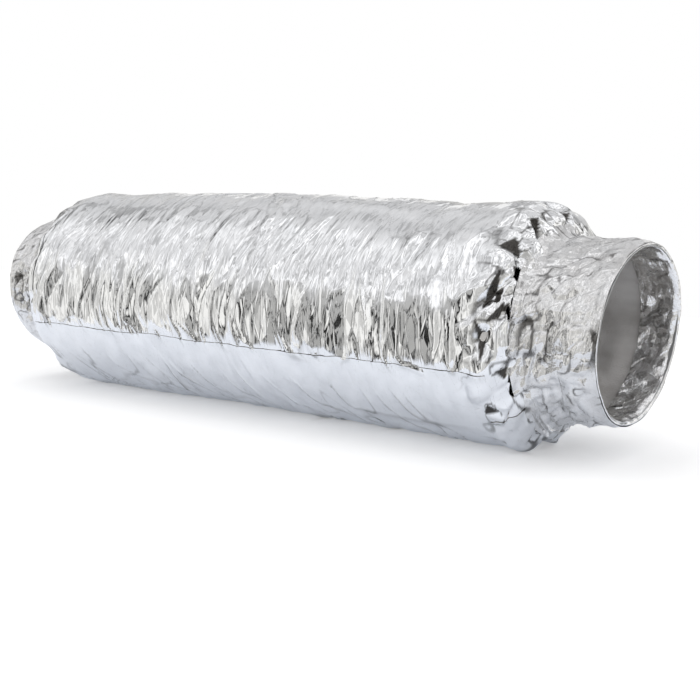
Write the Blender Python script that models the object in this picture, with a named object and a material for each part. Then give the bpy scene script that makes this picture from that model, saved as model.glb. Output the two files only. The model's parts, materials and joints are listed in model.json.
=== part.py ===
"""Flexible foil-jacketed duct silencer, DN125 by 600 mm, with 25 mm of acoustic wool.

The duct axis runs along X at AXIS_HEIGHT, the near collar is the +X end, and Z = 0 is the
surface that the soft body rests on. Every layer is a turned skin or ring of its own, and each
one keeps GAP to the next. The near collar turns with the bend of the body: its empty stands on
the bend axis at the middle of the sleeve.
"""

import math

import bmesh
import bpy
from mathutils import Matrix, Vector

# Overall sizes, in metres.
OVERALL_LENGTH = 0.6072
BODY_RADIUS = 0.0877
COLLAR_RADIUS = 0.0625
NEAR_COLLAR_LENGTH = 0.054
FAR_COLLAR_LENGTH = 0.043
NEAR_SHOULDER_LENGTH = 0.027
FAR_SHOULDER_LENGTH = 0.033
SETTLE = 0.002
NEAR_RIM_LEAN = 0.0053
GAP = 0.0003

# Layers, from the inside out.
TAPE = 0.0003
LINER = 0.0004
STEEL = 0.0006
FOIL = 0.0004
BAND = 0.0003
WIRE_RADIUS = 0.0007
HELIX_RADIUS = 0.0615
HELIX_PITCH = 0.036
HELIX_TURN_STEPS = 24
COVER_TO_WIRE = 0.00051

# Lengths of the collar pieces, counted from the rim.
RIM_TAPE_INSIDE = 0.028
RIM_TAPE_OUTSIDE = 0.009
JACKET_TO_RIM = 0.0095
LINER_TO_RIM = 0.0009
SPIGOT_TO_RIM = 0.0009
WRAP_TO_RIM = 0.004
CORE_TAPE_TO_RIM = 0.028
BAND_TO_RIM = 0.018
BAND_WIDTH = 0.009
CRIMP_HEIGHT = 0.0003
CRIMP_SPAN = math.radians(20)
CRIMP_ANGLE = math.radians(117)
SPIGOT_INTO_BODY = 0.011
CORE_COVER_INTO_BODY = 0.003
WRAP_TO_SHOULDER = 0.009

# Every turned piece has its first facet at the top edge of the jacket's lap seam, so that the
# facets of neighbouring layers lie flat against each other. Angles about the duct axis are zero
# on the -Y side and positive upwards. Patches and the seam are placed in whole facets; a patch's
# low and high edges are shares of the shoulder's rise.
SEGMENTS = 40
FACET = 2 * math.pi / SEGMENTS
SEAM_TOP = math.radians(-15)
SEAM_FACETS = 2
PATCH_FACETS = 4
PATCH_LOW = 0.12
PATCH_HIGH = 0.97
NEAR_PATCH_STARTS = (3, 17, 33)
FAR_PATCH_STARTS = (2, 15, 27)
SHOULDER_STEPS = 5
WOOL_LIFT = 0.0008
SHARP_EDGE = math.radians(32)
FACING_OUT = 0.5
BEND_AXIS_X = 0.0

AXIS_HEIGHT = BODY_RADIUS - SETTLE

# Radii of the collar's layers, worked inwards from the outer wrap.
WRAP_IN = COLLAR_RADIUS - TAPE
BAND_OUT = WRAP_IN - GAP - CRIMP_HEIGHT
BAND_IN = BAND_OUT - BAND
JACKET_COLLAR_OUT = BAND_IN - GAP
JACKET_COLLAR_IN = JACKET_COLLAR_OUT - TAPE
CORE_TAPE_OUT = JACKET_COLLAR_IN - GAP
CORE_TAPE_IN = CORE_TAPE_OUT - TAPE
SPIGOT_OUT = CORE_TAPE_IN - GAP
SPIGOT_IN = SPIGOT_OUT - STEEL
LINER_OUT = SPIGOT_IN - GAP
LINER_IN = LINER_OUT - LINER
RIM_TAPE_IN_OUT = LINER_IN - GAP
RIM_TAPE_IN_IN = RIM_TAPE_IN_OUT - TAPE
COVER_IN = HELIX_RADIUS + WIRE_RADIUS + COVER_TO_WIRE
COVER_OUT = COVER_IN + LINER
WOOL_IN = COVER_OUT + GAP

# The near rim leans, so its centre stands back from the top edge that ends the part.
NEAR_RIM_X = OVERALL_LENGTH / 2 - NEAR_RIM_LEAN * BAND_OUT / COLLAR_RADIUS
FAR_RIM_X = -OVERALL_LENGTH / 2
NEAR_SHOULDER_X = NEAR_RIM_X - NEAR_COLLAR_LENGTH
FAR_SHOULDER_X = FAR_RIM_X + FAR_COLLAR_LENGTH
NEAR = {
    "side": 1,
    "rim": NEAR_RIM_X,
    "shoulder": NEAR_SHOULDER_X,
    "length": NEAR_SHOULDER_LENGTH,
}
FAR = {
    "side": -1,
    "rim": FAR_RIM_X,
    "shoulder": FAR_SHOULDER_X,
    "length": FAR_SHOULDER_LENGTH,
}

MATERIALS = {
    "foil": ((0.80, 0.81, 0.83), 0.16, 1.0),
    "foil_tape": ((0.74, 0.75, 0.77), 0.24, 1.0),
    "galvanised_steel": ((0.56, 0.58, 0.60), 0.42, 1.0),
    "band_steel": ((0.42, 0.43, 0.45), 0.38, 1.0),
    "spring_wire": ((0.32, 0.32, 0.33), 0.35, 1.0),
    "nonwoven": ((0.76, 0.75, 0.72), 0.95, 0.0),
    "scrim": ((0.55, 0.56, 0.54), 0.9, 0.0),
    "acoustic_wool": ((0.86, 0.84, 0.78), 1.0, 0.0),
}


def clear_scene():
    for obj in list(bpy.data.objects):
        bpy.data.objects.remove(obj, do_unlink=True)


def make_material(name):
    color, roughness, metallic = MATERIALS[name]
    material = bpy.data.materials.new(name)
    material.use_nodes = True
    shader = material.node_tree.nodes["Principled BSDF"]
    shader.inputs["Base Color"].default_value = (*color, 1.0)
    shader.inputs["Roughness"].default_value = roughness
    shader.inputs["Metallic"].default_value = metallic
    return material


def make_object(name, bm, material, parent):
    """Turns a bmesh in world space into a smooth-shaded object under its parent empty."""
    bmesh.ops.recalc_face_normals(bm, faces=bm.faces[:])
    bm.transform(Matrix.Translation(-parent.location))
    mesh = bpy.data.meshes.new(name)
    bm.to_mesh(mesh)
    bm.free()
    mesh.materials.append(material)
    mesh.shade_smooth()
    mesh.set_sharp_from_angle(angle=SHARP_EDGE)
    obj = bpy.data.objects.new(name, mesh)
    obj.parent = parent
    bpy.context.scene.collection.objects.link(obj)
    return obj


def make_empty(name, location):
    empty = bpy.data.objects.new(name, None)
    empty.location = location
    bpy.context.scene.collection.objects.link(empty)
    return empty


def lean(x, z):
    """How far the near collar leans forward at height z, easing in from the shoulder."""
    start = NEAR_SHOULDER_X - NEAR_SHOULDER_LENGTH
    share = min(max((x - start) / (NEAR_RIM_X - start), 0.0), 1.0)
    ease = share * share * (3 - 2 * share)
    return NEAR_RIM_LEAN * ease * (z - AXIS_HEIGHT) / COLLAR_RADIUS


def shape_collar(bm):
    for vert in bm.verts:
        vert.co.x += lean(vert.co.x, vert.co.z)


def turn(outline, first=0, facets=SEGMENTS):
    """Spins a closed outline of (x, radius, floor) about the duct axis, by whole facets.

    The floor is how low a point may lie, which flattens the body where it rests.
    """
    start = SEAM_TOP + first * FACET
    bm = bmesh.new()
    floor_layer = bm.verts.layers.float.new("floor")
    verts = []
    for x, radius, floor in outline:
        y = -radius * math.cos(start)
        z = AXIS_HEIGHT + radius * math.sin(start)
        vert = bm.verts.new((x, y, z))
        vert[floor_layer] = floor
        verts.append(vert)
    edges = [bm.edges.new(pair) for pair in zip(verts, verts[1:] + verts[:1])]
    full = facets == SEGMENTS
    geometry = verts + edges
    if not full:
        geometry.append(bm.faces.new(verts))
    bmesh.ops.spin(
        bm,
        geom=geometry,
        cent=(0, 0, AXIS_HEIGHT),
        axis=(-1, 0, 0),
        angle=facets * FACET,
        steps=facets,
        use_merge=full,
        use_duplicate=False,
    )
    for vert in bm.verts:
        vert.co.z = max(vert.co.z, vert[floor_layer])
    shape_collar(bm)
    return bm


def ring_outline(x_from, x_to, radius_in, radius_out):
    return [
        (x_from, radius_out, 0.0),
        (x_to, radius_out, 0.0),
        (x_to, radius_in, 0.0),
        (x_from, radius_in, 0.0),
    ]


def shoulder_arc(end, inset, floor):
    """Points down one rounded shoulder, from the body's wall to the collar's foot."""
    centre_x = end["shoulder"] - end["side"] * end["length"]
    reach = end["length"] - inset
    rise = BODY_RADIUS - JACKET_COLLAR_OUT - inset
    points = []
    for step in range(SHOULDER_STEPS + 1):
        angle = math.pi / 2 * step / SHOULDER_STEPS
        x = centre_x + end["side"] * reach * math.sin(angle)
        radius = JACKET_COLLAR_OUT + rise * math.cos(angle)
        points.append((x, radius, floor))
    return points


def point_at_radius(points, radius):
    """Where a falling run of points passes a radius."""
    for (x_a, r_a, floor), (x_b, r_b, _) in zip(points, points[1:]):
        if r_b <= radius <= r_a:
            share = (r_a - radius) / (r_a - r_b)
            return (x_a + (x_b - x_a) * share, radius, floor)
    raise ValueError("radius outside the run")


def cut_low(points, low):
    """A falling run of points, ended where it passes a radius."""
    return [point for point in points if point[1] > low] + [point_at_radius(points, low)]


def cut_high(points, high):
    """A falling run of points, begun where it passes a radius."""
    return [point_at_radius(points, high)] + [point for point in points if point[1] < high]


def jacket_outline():
    """The foil sleeve over the wool, down to the foot of both shoulders."""
    outer = shoulder_arc(FAR, 0.0, 0.0)[::-1] + shoulder_arc(NEAR, 0.0, 0.0)
    inner_near = shoulder_arc(NEAR, FOIL, FOIL)
    inner_far = shoulder_arc(FAR, FOIL, FOIL)
    inner_near[-1] = (inner_near[-1][0], JACKET_COLLAR_IN, FOIL)
    inner_far[-1] = (inner_far[-1][0], JACKET_COLLAR_IN, FOIL)
    foot_near = (outer[-1][0], JACKET_COLLAR_IN, 0.0)
    foot_far = (outer[0][0], JACKET_COLLAR_IN, 0.0)
    return outer + [foot_near] + inner_near[::-1] + inner_far + [foot_far]


def wool_outline():
    """The blanket, a little flatter than the jacket where the body rests."""
    inset = FOIL + GAP
    floor = inset + WOOL_LIFT
    near = cut_low(shoulder_arc(NEAR, inset, floor), WOOL_IN)
    far = cut_low(shoulder_arc(FAR, inset, floor), WOOL_IN)
    return far[::-1] + near


def add_sleeve(parent, materials):
    """The layers that bend with the body."""
    liner = ring_outline(FAR_RIM_X + LINER_TO_RIM, NEAR_RIM_X - LINER_TO_RIM, LINER_IN, LINER_OUT)
    make_object("liner_sleeve", turn(liner), materials["nonwoven"], parent)
    add_helix(parent, materials["spring_wire"])
    cover = ring_outline(
        FAR_SHOULDER_X + CORE_COVER_INTO_BODY,
        NEAR_SHOULDER_X - CORE_COVER_INTO_BODY,
        COVER_IN,
        COVER_OUT,
    )
    make_object("core_cover", turn(cover), materials["scrim"], parent)
    make_object("acoustic_wool", turn(wool_outline()), materials["acoustic_wool"], parent)
    make_object("jacket", turn(jacket_outline()), materials["foil"], parent)
    add_seam_tape(parent, materials["foil_tape"])


def add_helix(parent, material):
    """Spring wire that holds the core open, wound from one spigot's end to the other's."""
    start = FAR_SHOULDER_X + CORE_COVER_INTO_BODY + WIRE_RADIUS
    end = NEAR_SHOULDER_X - CORE_COVER_INTO_BODY - WIRE_RADIUS
    steps = round((end - start) / HELIX_PITCH * HELIX_TURN_STEPS)
    curve = bpy.data.curves.new("wire_helix", "CURVE")
    curve.dimensions = "3D"
    curve.bevel_depth = WIRE_RADIUS
    curve.bevel_resolution = 0
    curve.use_fill_caps = True
    spline = curve.splines.new("POLY")
    spline.points.add(steps)
    for step in range(steps + 1):
        angle = 2 * math.pi * step / HELIX_TURN_STEPS
        x = start + (end - start) * step / steps
        y = HELIX_RADIUS * math.cos(angle)
        z = HELIX_RADIUS * math.sin(angle)
        spline.points[step].co = (x, y, z, 1.0)
    curve.materials.append(material)
    obj = bpy.data.objects.new("wire_helix", curve)
    obj.location.z = AXIS_HEIGHT - parent.location.z
    obj.parent = parent
    bpy.context.scene.collection.objects.link(obj)


def add_seam_tape(parent, material):
    """The strip that closes the jacket's lengthwise lap, just under the front's middle."""
    radius = BODY_RADIUS + GAP
    strip = ring_outline(
        FAR_SHOULDER_X + FAR_SHOULDER_LENGTH,
        NEAR_SHOULDER_X - NEAR_SHOULDER_LENGTH,
        radius,
        radius + TAPE,
    )
    bm = turn(strip, first=-SEAM_FACETS, facets=SEAM_FACETS)
    make_object("jacket_seam_tape", bm, material, parent)


def add_collar(end_name, end, parent, materials):
    """The pieces at one end, from the spigot outwards."""
    side = end["side"]
    shoulder = end["shoulder"]
    rim = end["rim"]
    rings = {
        "spigot": (
            shoulder - side * SPIGOT_INTO_BODY,
            rim - side * SPIGOT_TO_RIM,
            SPIGOT_IN,
            SPIGOT_OUT,
            "galvanised_steel",
        ),
        "core_tape": (
            shoulder + side * GAP,
            rim - side * CORE_TAPE_TO_RIM,
            CORE_TAPE_IN,
            CORE_TAPE_OUT,
            "foil_tape",
        ),
        "jacket_cuff": (
            shoulder + side * GAP,
            rim - side * JACKET_TO_RIM,
            JACKET_COLLAR_IN,
            JACKET_COLLAR_OUT,
            "foil",
        ),
        "collar_wrap": (
            shoulder + side * WRAP_TO_SHOULDER,
            rim - side * WRAP_TO_RIM,
            WRAP_IN,
            COLLAR_RADIUS,
            "foil_tape",
        ),
    }
    for piece, (x_from, x_to, radius_in, radius_out, material) in rings.items():
        bm = turn(ring_outline(x_from, x_to, radius_in, radius_out))
        make_object(f"{end_name}_{piece}", bm, materials[material], parent)
    add_band(end_name, rim, side, parent, materials["band_steel"])
    add_rim_tape(end_name, rim, side, parent, materials["foil_tape"])


def add_band(end_name, rim, side, parent, material):
    """A crimped steel band that clamps the jacket on the spigot."""
    x_from = rim - side * (BAND_TO_RIM + BAND_WIDTH)
    bm = turn(ring_outline(x_from, x_from + side * BAND_WIDTH, BAND_IN, BAND_OUT))
    bmesh.ops.recalc_face_normals(bm, faces=bm.faces[:])
    crimp = []
    for face in bm.faces:
        centre = face.calc_center_median()
        outward = Vector((0.0, centre.y, centre.z - AXIS_HEIGHT)).normalized()
        angle = math.atan2(outward.z, -outward.y)
        faces_out = face.normal.dot(outward) > FACING_OUT
        if faces_out and abs(angle - CRIMP_ANGLE) < CRIMP_SPAN / 2:
            crimp.append(face)
    raised = bmesh.ops.extrude_face_region(bm, geom=crimp)
    for vert in raised["geom"]:
        if isinstance(vert, bmesh.types.BMVert):
            height = vert.co.z - AXIS_HEIGHT
            scale = 1 + CRIMP_HEIGHT / math.hypot(height, vert.co.y)
            vert.co.y *= scale
            vert.co.z = AXIS_HEIGHT + height * scale
    bmesh.ops.delete(bm, geom=crimp, context="FACES_ONLY")
    make_object(f"{end_name}_band", bm, material, parent)


def add_rim_tape(end_name, rim, side, parent, material):
    """Foil tape folded over the rim: a long leg inside the liner and a short one outside."""
    leg_out = BAND_IN + TAPE
    fold = rim - side * TAPE
    outline = [
        (rim - side * RIM_TAPE_OUTSIDE, leg_out, 0.0),
        (rim, leg_out, 0.0),
        (rim, RIM_TAPE_IN_IN, 0.0),
        (rim - side * RIM_TAPE_INSIDE, RIM_TAPE_IN_IN, 0.0),
        (rim - side * RIM_TAPE_INSIDE, RIM_TAPE_IN_OUT, 0.0),
        (fold, RIM_TAPE_IN_OUT, 0.0),
        (fold, leg_out - TAPE, 0.0),
        (rim - side * RIM_TAPE_OUTSIDE, leg_out - TAPE, 0.0),
    ]
    make_object(f"{end_name}_rim_tape", turn(outline), material, parent)


def add_patches(end_name, end, starts, parent, material):
    """Tape patches that hold the jacket's gathers down over one shoulder."""
    rise = BODY_RADIUS - JACKET_COLLAR_OUT
    low = JACKET_COLLAR_OUT + PATCH_LOW * rise
    high = JACKET_COLLAR_OUT + PATCH_HIGH * rise
    outer = cut_high(cut_low(shoulder_arc(end, -(GAP + TAPE), 0.0), low), high)
    inner = cut_high(cut_low(shoulder_arc(end, -GAP, 0.0), low), high)
    for number, first in enumerate(starts, 1):
        bm = turn(outer + inner[::-1], first=first, facets=PATCH_FACETS)
        make_object(f"{end_name}_shoulder_tape_{number}", bm, material, parent)


def main():
    clear_scene()
    materials = {name: make_material(name) for name in MATERIALS}
    sleeve = make_empty("sleeve_body", (BEND_AXIS_X, 0.0, 0.0))
    near = make_empty("near_collar_body", (BEND_AXIS_X, 0.0, AXIS_HEIGHT))
    add_sleeve(sleeve, materials)
    add_collar("far", FAR, sleeve, materials)
    add_patches("far", FAR, FAR_PATCH_STARTS, sleeve, materials["foil_tape"])
    add_collar("near", NEAR, near, materials)
    add_patches("near", NEAR, NEAR_PATCH_STARTS, near, materials["foil_tape"])


main()
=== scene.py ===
"""Looks of the flexible duct silencer: crumpled foil skins, taped collars and the fabric bore."""

import json
import math

import bpy
import numpy as np
from mathutils import Matrix, Vector

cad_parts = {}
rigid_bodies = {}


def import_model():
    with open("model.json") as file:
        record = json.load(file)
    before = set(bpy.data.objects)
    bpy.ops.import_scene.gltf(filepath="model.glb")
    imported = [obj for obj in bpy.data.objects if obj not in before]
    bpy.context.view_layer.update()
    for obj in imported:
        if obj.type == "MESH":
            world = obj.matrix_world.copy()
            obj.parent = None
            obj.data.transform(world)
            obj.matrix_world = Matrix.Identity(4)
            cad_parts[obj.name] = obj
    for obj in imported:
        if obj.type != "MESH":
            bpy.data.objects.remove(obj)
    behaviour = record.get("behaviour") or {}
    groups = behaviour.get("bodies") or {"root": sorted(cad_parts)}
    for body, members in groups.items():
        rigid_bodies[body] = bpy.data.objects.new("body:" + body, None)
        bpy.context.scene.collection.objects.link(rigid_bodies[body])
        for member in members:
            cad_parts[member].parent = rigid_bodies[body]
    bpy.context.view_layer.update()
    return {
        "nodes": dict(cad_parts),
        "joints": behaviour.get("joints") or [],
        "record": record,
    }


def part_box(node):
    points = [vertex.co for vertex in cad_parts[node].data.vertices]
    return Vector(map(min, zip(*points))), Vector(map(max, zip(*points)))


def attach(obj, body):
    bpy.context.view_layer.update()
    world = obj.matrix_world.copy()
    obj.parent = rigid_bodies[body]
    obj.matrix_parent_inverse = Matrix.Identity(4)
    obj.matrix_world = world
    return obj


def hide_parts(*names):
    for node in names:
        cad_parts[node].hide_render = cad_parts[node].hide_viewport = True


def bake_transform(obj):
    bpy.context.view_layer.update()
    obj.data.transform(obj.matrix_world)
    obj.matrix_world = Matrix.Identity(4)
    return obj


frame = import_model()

MM = 0.001
FULL_TURN = 2 * math.pi
TINY = 1e-9


def add_object(name, data):
    obj = bpy.data.objects.new(name, data)
    bpy.context.scene.collection.objects.link(obj)
    return obj


def radius_of(node):
    low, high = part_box(node)
    return (high[1] - low[1]) / 2


# Places and sizes that come from the frame, in metres.
AXIS_Z = sum(corner[2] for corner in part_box("far_collar_wrap")) / 2
BODY_RADIUS = radius_of("jacket")
COLLAR_RADIUS = radius_of("far_collar_wrap")
FAR_RIM_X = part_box("far_rim_tape")[0][0]
FAR_SHOULDER_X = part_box("jacket")[0][0]
BEND = frame["joints"][0]

# The near rim leans forward at the top and back at the bottom by this much.
RIM_LEAN = 5.3 * MM
NEAR_RIM_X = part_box("near_rim_tape")[1][0] - RIM_LEAN
NEAR_COLLAR_LENGTH = 54 * MM
NEAR_SHOULDER_X = NEAR_RIM_X - NEAR_COLLAR_LENGTH
NEAR_SHOULDER_LENGTH = 27 * MM
FAR_SHOULDER_LENGTH = 33 * MM

# The jacket's necks lie under the collars' wraps.
FOOT_RADIUS = COLLAR_RADIUS - 0.9 * MM
NECK_LENGTH = 14 * MM

# Angles about the duct axis are zero on the -Y side and positive upwards. The strip of tape over
# the lap seam hangs from its upper edge, and the jacket's sheet closes under the strip's middle.
SEAM_ANGLE = math.radians(-15)
SEAM_WIDTH = math.radians(18)
CUT_ANGLE = SEAM_ANGLE - SEAM_WIDTH / 2
BOTTOM_ANGLE = math.radians(-90)

# Thicknesses of the sheets, and how finely their surfaces are divided along and around.
FOIL_THICKNESS = 0.25 * MM
PATCH_THICKNESS = 0.2 * MM
WRAP_THICKNESS = 0.15 * MM
RIM_TAPE_THICKNESS = 0.12 * MM
LINER_THICKNESS = 0.25 * MM
JACKET_GRID = (1.05 * MM, 1.65 * MM)
WRAP_GRID = (0.85 * MM, 0.95 * MM)
RIM_TAPE_GRID = (0.7 * MM, 0.9 * MM)
LINER_GRID = (2.0 * MM, 2.4 * MM)

# How far above the floor the undersides stop, and how round the edge of that flat is.
JACKET_FLOOR = 0.0004
TAPE_FLOOR = 0.0002
FLOOR_BLEND = 1.2 * MM
FLOOR_SINK = 0.3


# --------------------
# Height fields on an unrolled skin. s runs along the skin and u around it, both in metres. Each
# field closes on itself around the skin and swings between about -1 and 1. A field's cells are
# in millimetres, along and around, and WIDE ones make it the same all the way.

WIDE = 1000
FACET_JITTER = 0.85
INSIDE_SLACK = 1e-6
EDGE_CELLS = 4
LAST_CELL = 2.001


def smoothstep(low, high, value):
    t = np.clip((value - low) / (high - low), 0.0, 1.0)
    return t * t * (3 - 2 * t)


def wrap_angle(angle):
    return (angle + math.pi) % FULL_TURN - math.pi


class Place:
    """Where points lie on an unrolled skin."""

    def __init__(self, s, u, girth, length):
        self.s, self.u, self.girth, self.length = s, u, girth, length

    def moved(self, along):
        return Place(self.s + along, self.u, self.girth, self.length)

    def cells(self, cell_s, cell_u, fewest):
        """Cell coordinates, and how many rows and columns of cells there are."""
        columns = max(fewest, round(self.girth / (cell_u * MM)))
        rows = int(self.length / (cell_s * MM)) + 2 * EDGE_CELLS + 2
        fs = np.clip(self.s / (cell_s * MM) + EDGE_CELLS, 1.0, rows - LAST_CELL)
        return fs, self.u / (self.girth / columns), rows, columns


def facets(place, cell_s, cell_u, seed):
    """Flat triangular facets between random points, with sharp creases."""
    fs, fu, rows, columns = place.cells(cell_s, cell_u, fewest=3)
    draws = np.random.default_rng(seed).random((3, rows, columns))
    offset_s, offset_u = 0.5 + FACET_JITTER * (draws[:2] - 0.5)
    height = draws[2] * 2 - 1
    base_i = np.floor(fs).astype(int)
    base_j = np.floor(fu).astype(int)
    result = np.zeros(fs.shape)
    done = np.zeros(fs.shape, bool)

    def corner(di, dj):
        i = np.clip(base_i + di, 0, rows - 1)
        j = base_j + dj
        wrapped = j % columns
        return i + offset_s[i, wrapped], j + offset_u[i, wrapped], height[i, wrapped]

    corners = {(di, dj): corner(di, dj) for di in range(-1, 2) for dj in range(-1, 2)}
    for di in range(-1, 1):
        for dj in range(-1, 1):
            a, b = corners[di, dj], corners[di + 1, dj]
            c, d = corners[di + 1, dj + 1], corners[di, dj + 1]
            for p, q, r in ((a, b, c), (a, c, d)):
                det = (q[0] - p[0]) * (r[1] - p[1]) - (r[0] - p[0]) * (q[1] - p[1])
                det = np.where(np.abs(det) < TINY, TINY, det)
                wq = ((fs - p[0]) * (r[1] - p[1]) - (r[0] - p[0]) * (fu - p[1])) / det
                wr = ((q[0] - p[0]) * (fu - p[1]) - (fs - p[0]) * (q[1] - p[1])) / det
                inside = (wq >= -INSIDE_SLACK) & (wr >= -INSIDE_SLACK) & ~done
                inside &= wq + wr <= 1 + INSIDE_SLACK
                value = p[2] * (1 - wq - wr) + q[2] * wq + r[2] * wr
                result = np.where(inside, value, result)
                done |= inside
    return result


def waves(place, cell_s, cell_u, seed):
    """Smooth uneven swells."""
    fs, fu, rows, columns = place.cells(cell_s, cell_u, fewest=2)
    height = np.random.default_rng(seed).random((rows, columns)) * 2 - 1
    i = np.floor(fs).astype(int)
    j = np.floor(fu).astype(int)
    ts, tu = smoothstep(0, 1, fs - i), smoothstep(0, 1, fu - j)
    a, b = height[i, j % columns], height[i + 1, j % columns]
    c, d = height[i, (j + 1) % columns], height[i + 1, (j + 1) % columns]
    return (a * (1 - ts) + b * ts) * (1 - tu) + (c * (1 - ts) + d * ts) * tu


def creases(place, cell_s, cell_u, seed, width):
    """Thin meandering ridges, from 0 on the flat to 1 on the crest."""
    level = waves(place, cell_s, cell_u, seed)
    return np.clip(1 - np.abs(level) / width, 0, 1)


def layered(field, place, layers):
    """A sum of fields, each from a row of its cells, its seed and its height in millimetres."""
    return sum(field(place, *cells, seed) * height * MM for *cells, seed, height in layers)


# --------------------
# Skins: a run of (x, radius) points turned about the duct axis, with a height field on it.


def quarter_round(start, end, steps, wall_first):
    """An elliptical quarter from start to end; it leaves along X if wall_first."""
    angle = math.pi / 2 * np.arange(steps + 1) / steps
    shares = [np.sin(angle), 1 - np.cos(angle)]
    if not wall_first:
        shares.reverse()
    return list(zip(*(a + (b - a) * share for a, b, share in zip(start, end, shares))))


def lean(x, z):
    """How far the near collar leans forward at height z, easing in from the shoulder."""
    start = NEAR_SHOULDER_X - NEAR_SHOULDER_LENGTH
    return RIM_LEAN * smoothstep(start, NEAR_RIM_X, x) * (z - AXIS_Z) / COLLAR_RADIUS


class Run:
    """A run of points in the half plane beside the duct axis, from the far end to the near."""

    def __init__(self, points, girth_radius):
        points = np.array(points)
        steps = np.hypot(*np.diff(points, axis=0).T)
        self.s = np.concatenate([[0.0], np.cumsum(steps)])
        self.x, self.radius = points.T
        self.length = self.s[-1]
        self.girth = FULL_TURN * girth_radius

    def at_x(self, x):
        return float(np.interp(x, self.x, self.s))


class Skin:
    """A grid of points on a turned run."""

    SLOPE_REACH = 0.6 * MM

    def __init__(self, run, s, angle):
        self.run = run
        self.s, self.angle = s, angle
        self.u = angle / FULL_TURN * run.girth
        self.place = Place(s, self.u, run.girth, run.length)
        self.x, self.radius = self.at(s)
        ahead_x, ahead_r = self.at(s + self.SLOPE_REACH)
        behind_x, behind_r = self.at(s - self.SLOPE_REACH)
        slope_x, slope_r = ahead_x - behind_x, ahead_r - behind_r
        size = np.maximum(np.hypot(slope_x, slope_r), TINY)
        self.normal_x = -slope_r / size
        self.normal_r = slope_x / size

    @classmethod
    def whole(cls, run, grid, start):
        """The whole run, closed round the axis, from this angle."""
        rows = max(2, round(run.length / grid[0]) + 1)
        columns = round(run.girth / grid[1])
        s = np.linspace(0.0, run.length, rows)
        angle = start + FULL_TURN * np.arange(columns) / columns
        return cls(run, *np.meshgrid(s, angle, indexing="ij"))

    def at(self, s):
        return np.interp(s, self.run.s, self.run.x), np.interp(s, self.run.s, self.run.radius)

    def points(self, height, floor=None):
        """World points of the skin with this height along its outward normal."""
        x = self.x + self.normal_x * height
        return turned(x, self.radius + self.normal_r * height, self.angle, floor)


def soft_floor(z, floor):
    """Presses whatever would pass the floor onto it, with a rounded edge."""
    over = z - floor
    rounded = (over + np.sqrt(over * over + FLOOR_BLEND * FLOOR_BLEND)) / 2
    return floor + rounded - FLOOR_SINK * FLOOR_BLEND


def turned(x, radius, angle, floor=None):
    """World points from their places along, out from and round the duct axis."""
    y = -radius * np.cos(angle)
    z = AXIS_Z + radius * np.sin(angle)
    if floor is not None:
        z = soft_floor(z, floor)
    return np.stack([x + lean(x, z), y, z], axis=-1)


def grid_quads(index, closed):
    """Quads between the rows of a grid of point numbers."""
    left = index if closed else index[:, :-1]
    right = np.roll(index, -1, axis=1) if closed else index[:, 1:]
    return np.stack([left[:-1], left[1:], right[1:], right[:-1]], axis=-1).reshape(-1, 4)


def grid_normals(points, closed):
    """Outward normals of a grid, whose second direction may close on itself."""
    along = np.gradient(points, axis=0)
    if closed:
        around = np.roll(points, -1, axis=1) - np.roll(points, 1, axis=1)
    else:
        around = np.gradient(points, axis=1)
    return unit(np.cross(along, around))


def unit(vectors):
    return vectors / np.maximum(np.linalg.norm(vectors, axis=-1, keepdims=True), TINY * MM)


def add_mesh(name, points, faces, place):
    """Links a new smooth object of quads that carries each point's unrolled place."""
    mesh = bpy.data.meshes.new(name)
    mesh.vertices.add(len(points))
    mesh.vertices.foreach_set("co", np.ascontiguousarray(points, np.float32).ravel())
    mesh.loops.add(faces.size)
    mesh.loops.foreach_set("vertex_index", faces.ravel().astype(np.int32))
    mesh.polygons.add(len(faces))
    mesh.polygons.foreach_set("loop_start", np.arange(0, faces.size, 4, dtype=np.int32))
    mesh.update(calc_edges=True)
    mesh.shade_smooth()
    spread = np.zeros((len(points), 3), np.float32)
    spread[:, : place.shape[-1]] = place
    attribute = mesh.attributes.new("skin", "FLOAT_VECTOR", "POINT")
    attribute.data.foreach_set("vector", spread.ravel())
    return add_object(name, mesh)


def add_shell(name, points, normals, place, thickness, closed):
    """A closed sheet of this thickness under a grid of points, shaded by the grid's normals."""
    rows, columns = points.shape[:2]
    count = rows * columns
    index = np.arange(count).reshape(rows, columns)
    top = grid_quads(index, closed)
    under = top[:, ::-1] + count
    if closed:
        index = np.concatenate([index, index[:, :1]], axis=1)
    rims = [index[0], index[-1, ::-1]]
    if not closed:
        rims += [index[::-1, 0], index[:, -1]]
    start = np.concatenate([rim[:-1] for rim in rims])
    end = np.concatenate([rim[1:] for rim in rims])
    walls = np.stack([start, end, end + count, start + count], axis=-1)
    faces = np.concatenate([top, under, walls])
    flat = normals.reshape(-1, 3)
    outer = points.reshape(-1, 3)
    everything = np.concatenate([outer, outer - thickness * flat])
    spread = np.concatenate([place.reshape(count, -1)] * 2)
    obj = add_mesh(name, everything, faces, spread)
    edge = everything[end] - everything[start]
    drop = everything[start + count] - everything[start]
    corner_normals = [flat[top.ravel()], -flat[under.ravel() - count]]
    corner_normals.append(np.repeat(unit(np.cross(edge, drop)), 4, axis=0))
    obj.data.normals_split_custom_set(np.concatenate(corner_normals).tolist())
    return obj


def add_skin(name, skin, points, shade, thickness, closed=True):
    """A sheet on a skin, closed round the axis or open."""
    place = np.stack([skin.s, skin.u, shade], axis=-1)
    return add_shell(name, points, grid_normals(points, closed), place, thickness, closed)


# --------------------
# Materials. Scales are cells in a metre, depths are in metres, and tones are linear greys.

METRE = 1.0

# How much of a foil's cloudy noise counts as dulled, in color and in roughness.
DULL_PATCHES = (0.35, 0.7)
ROUGH_PATCHES = (0.3, 0.75)
SMOOTHEST = 0.05
ROUGHNESS_SPREAD = 0.15


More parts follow.
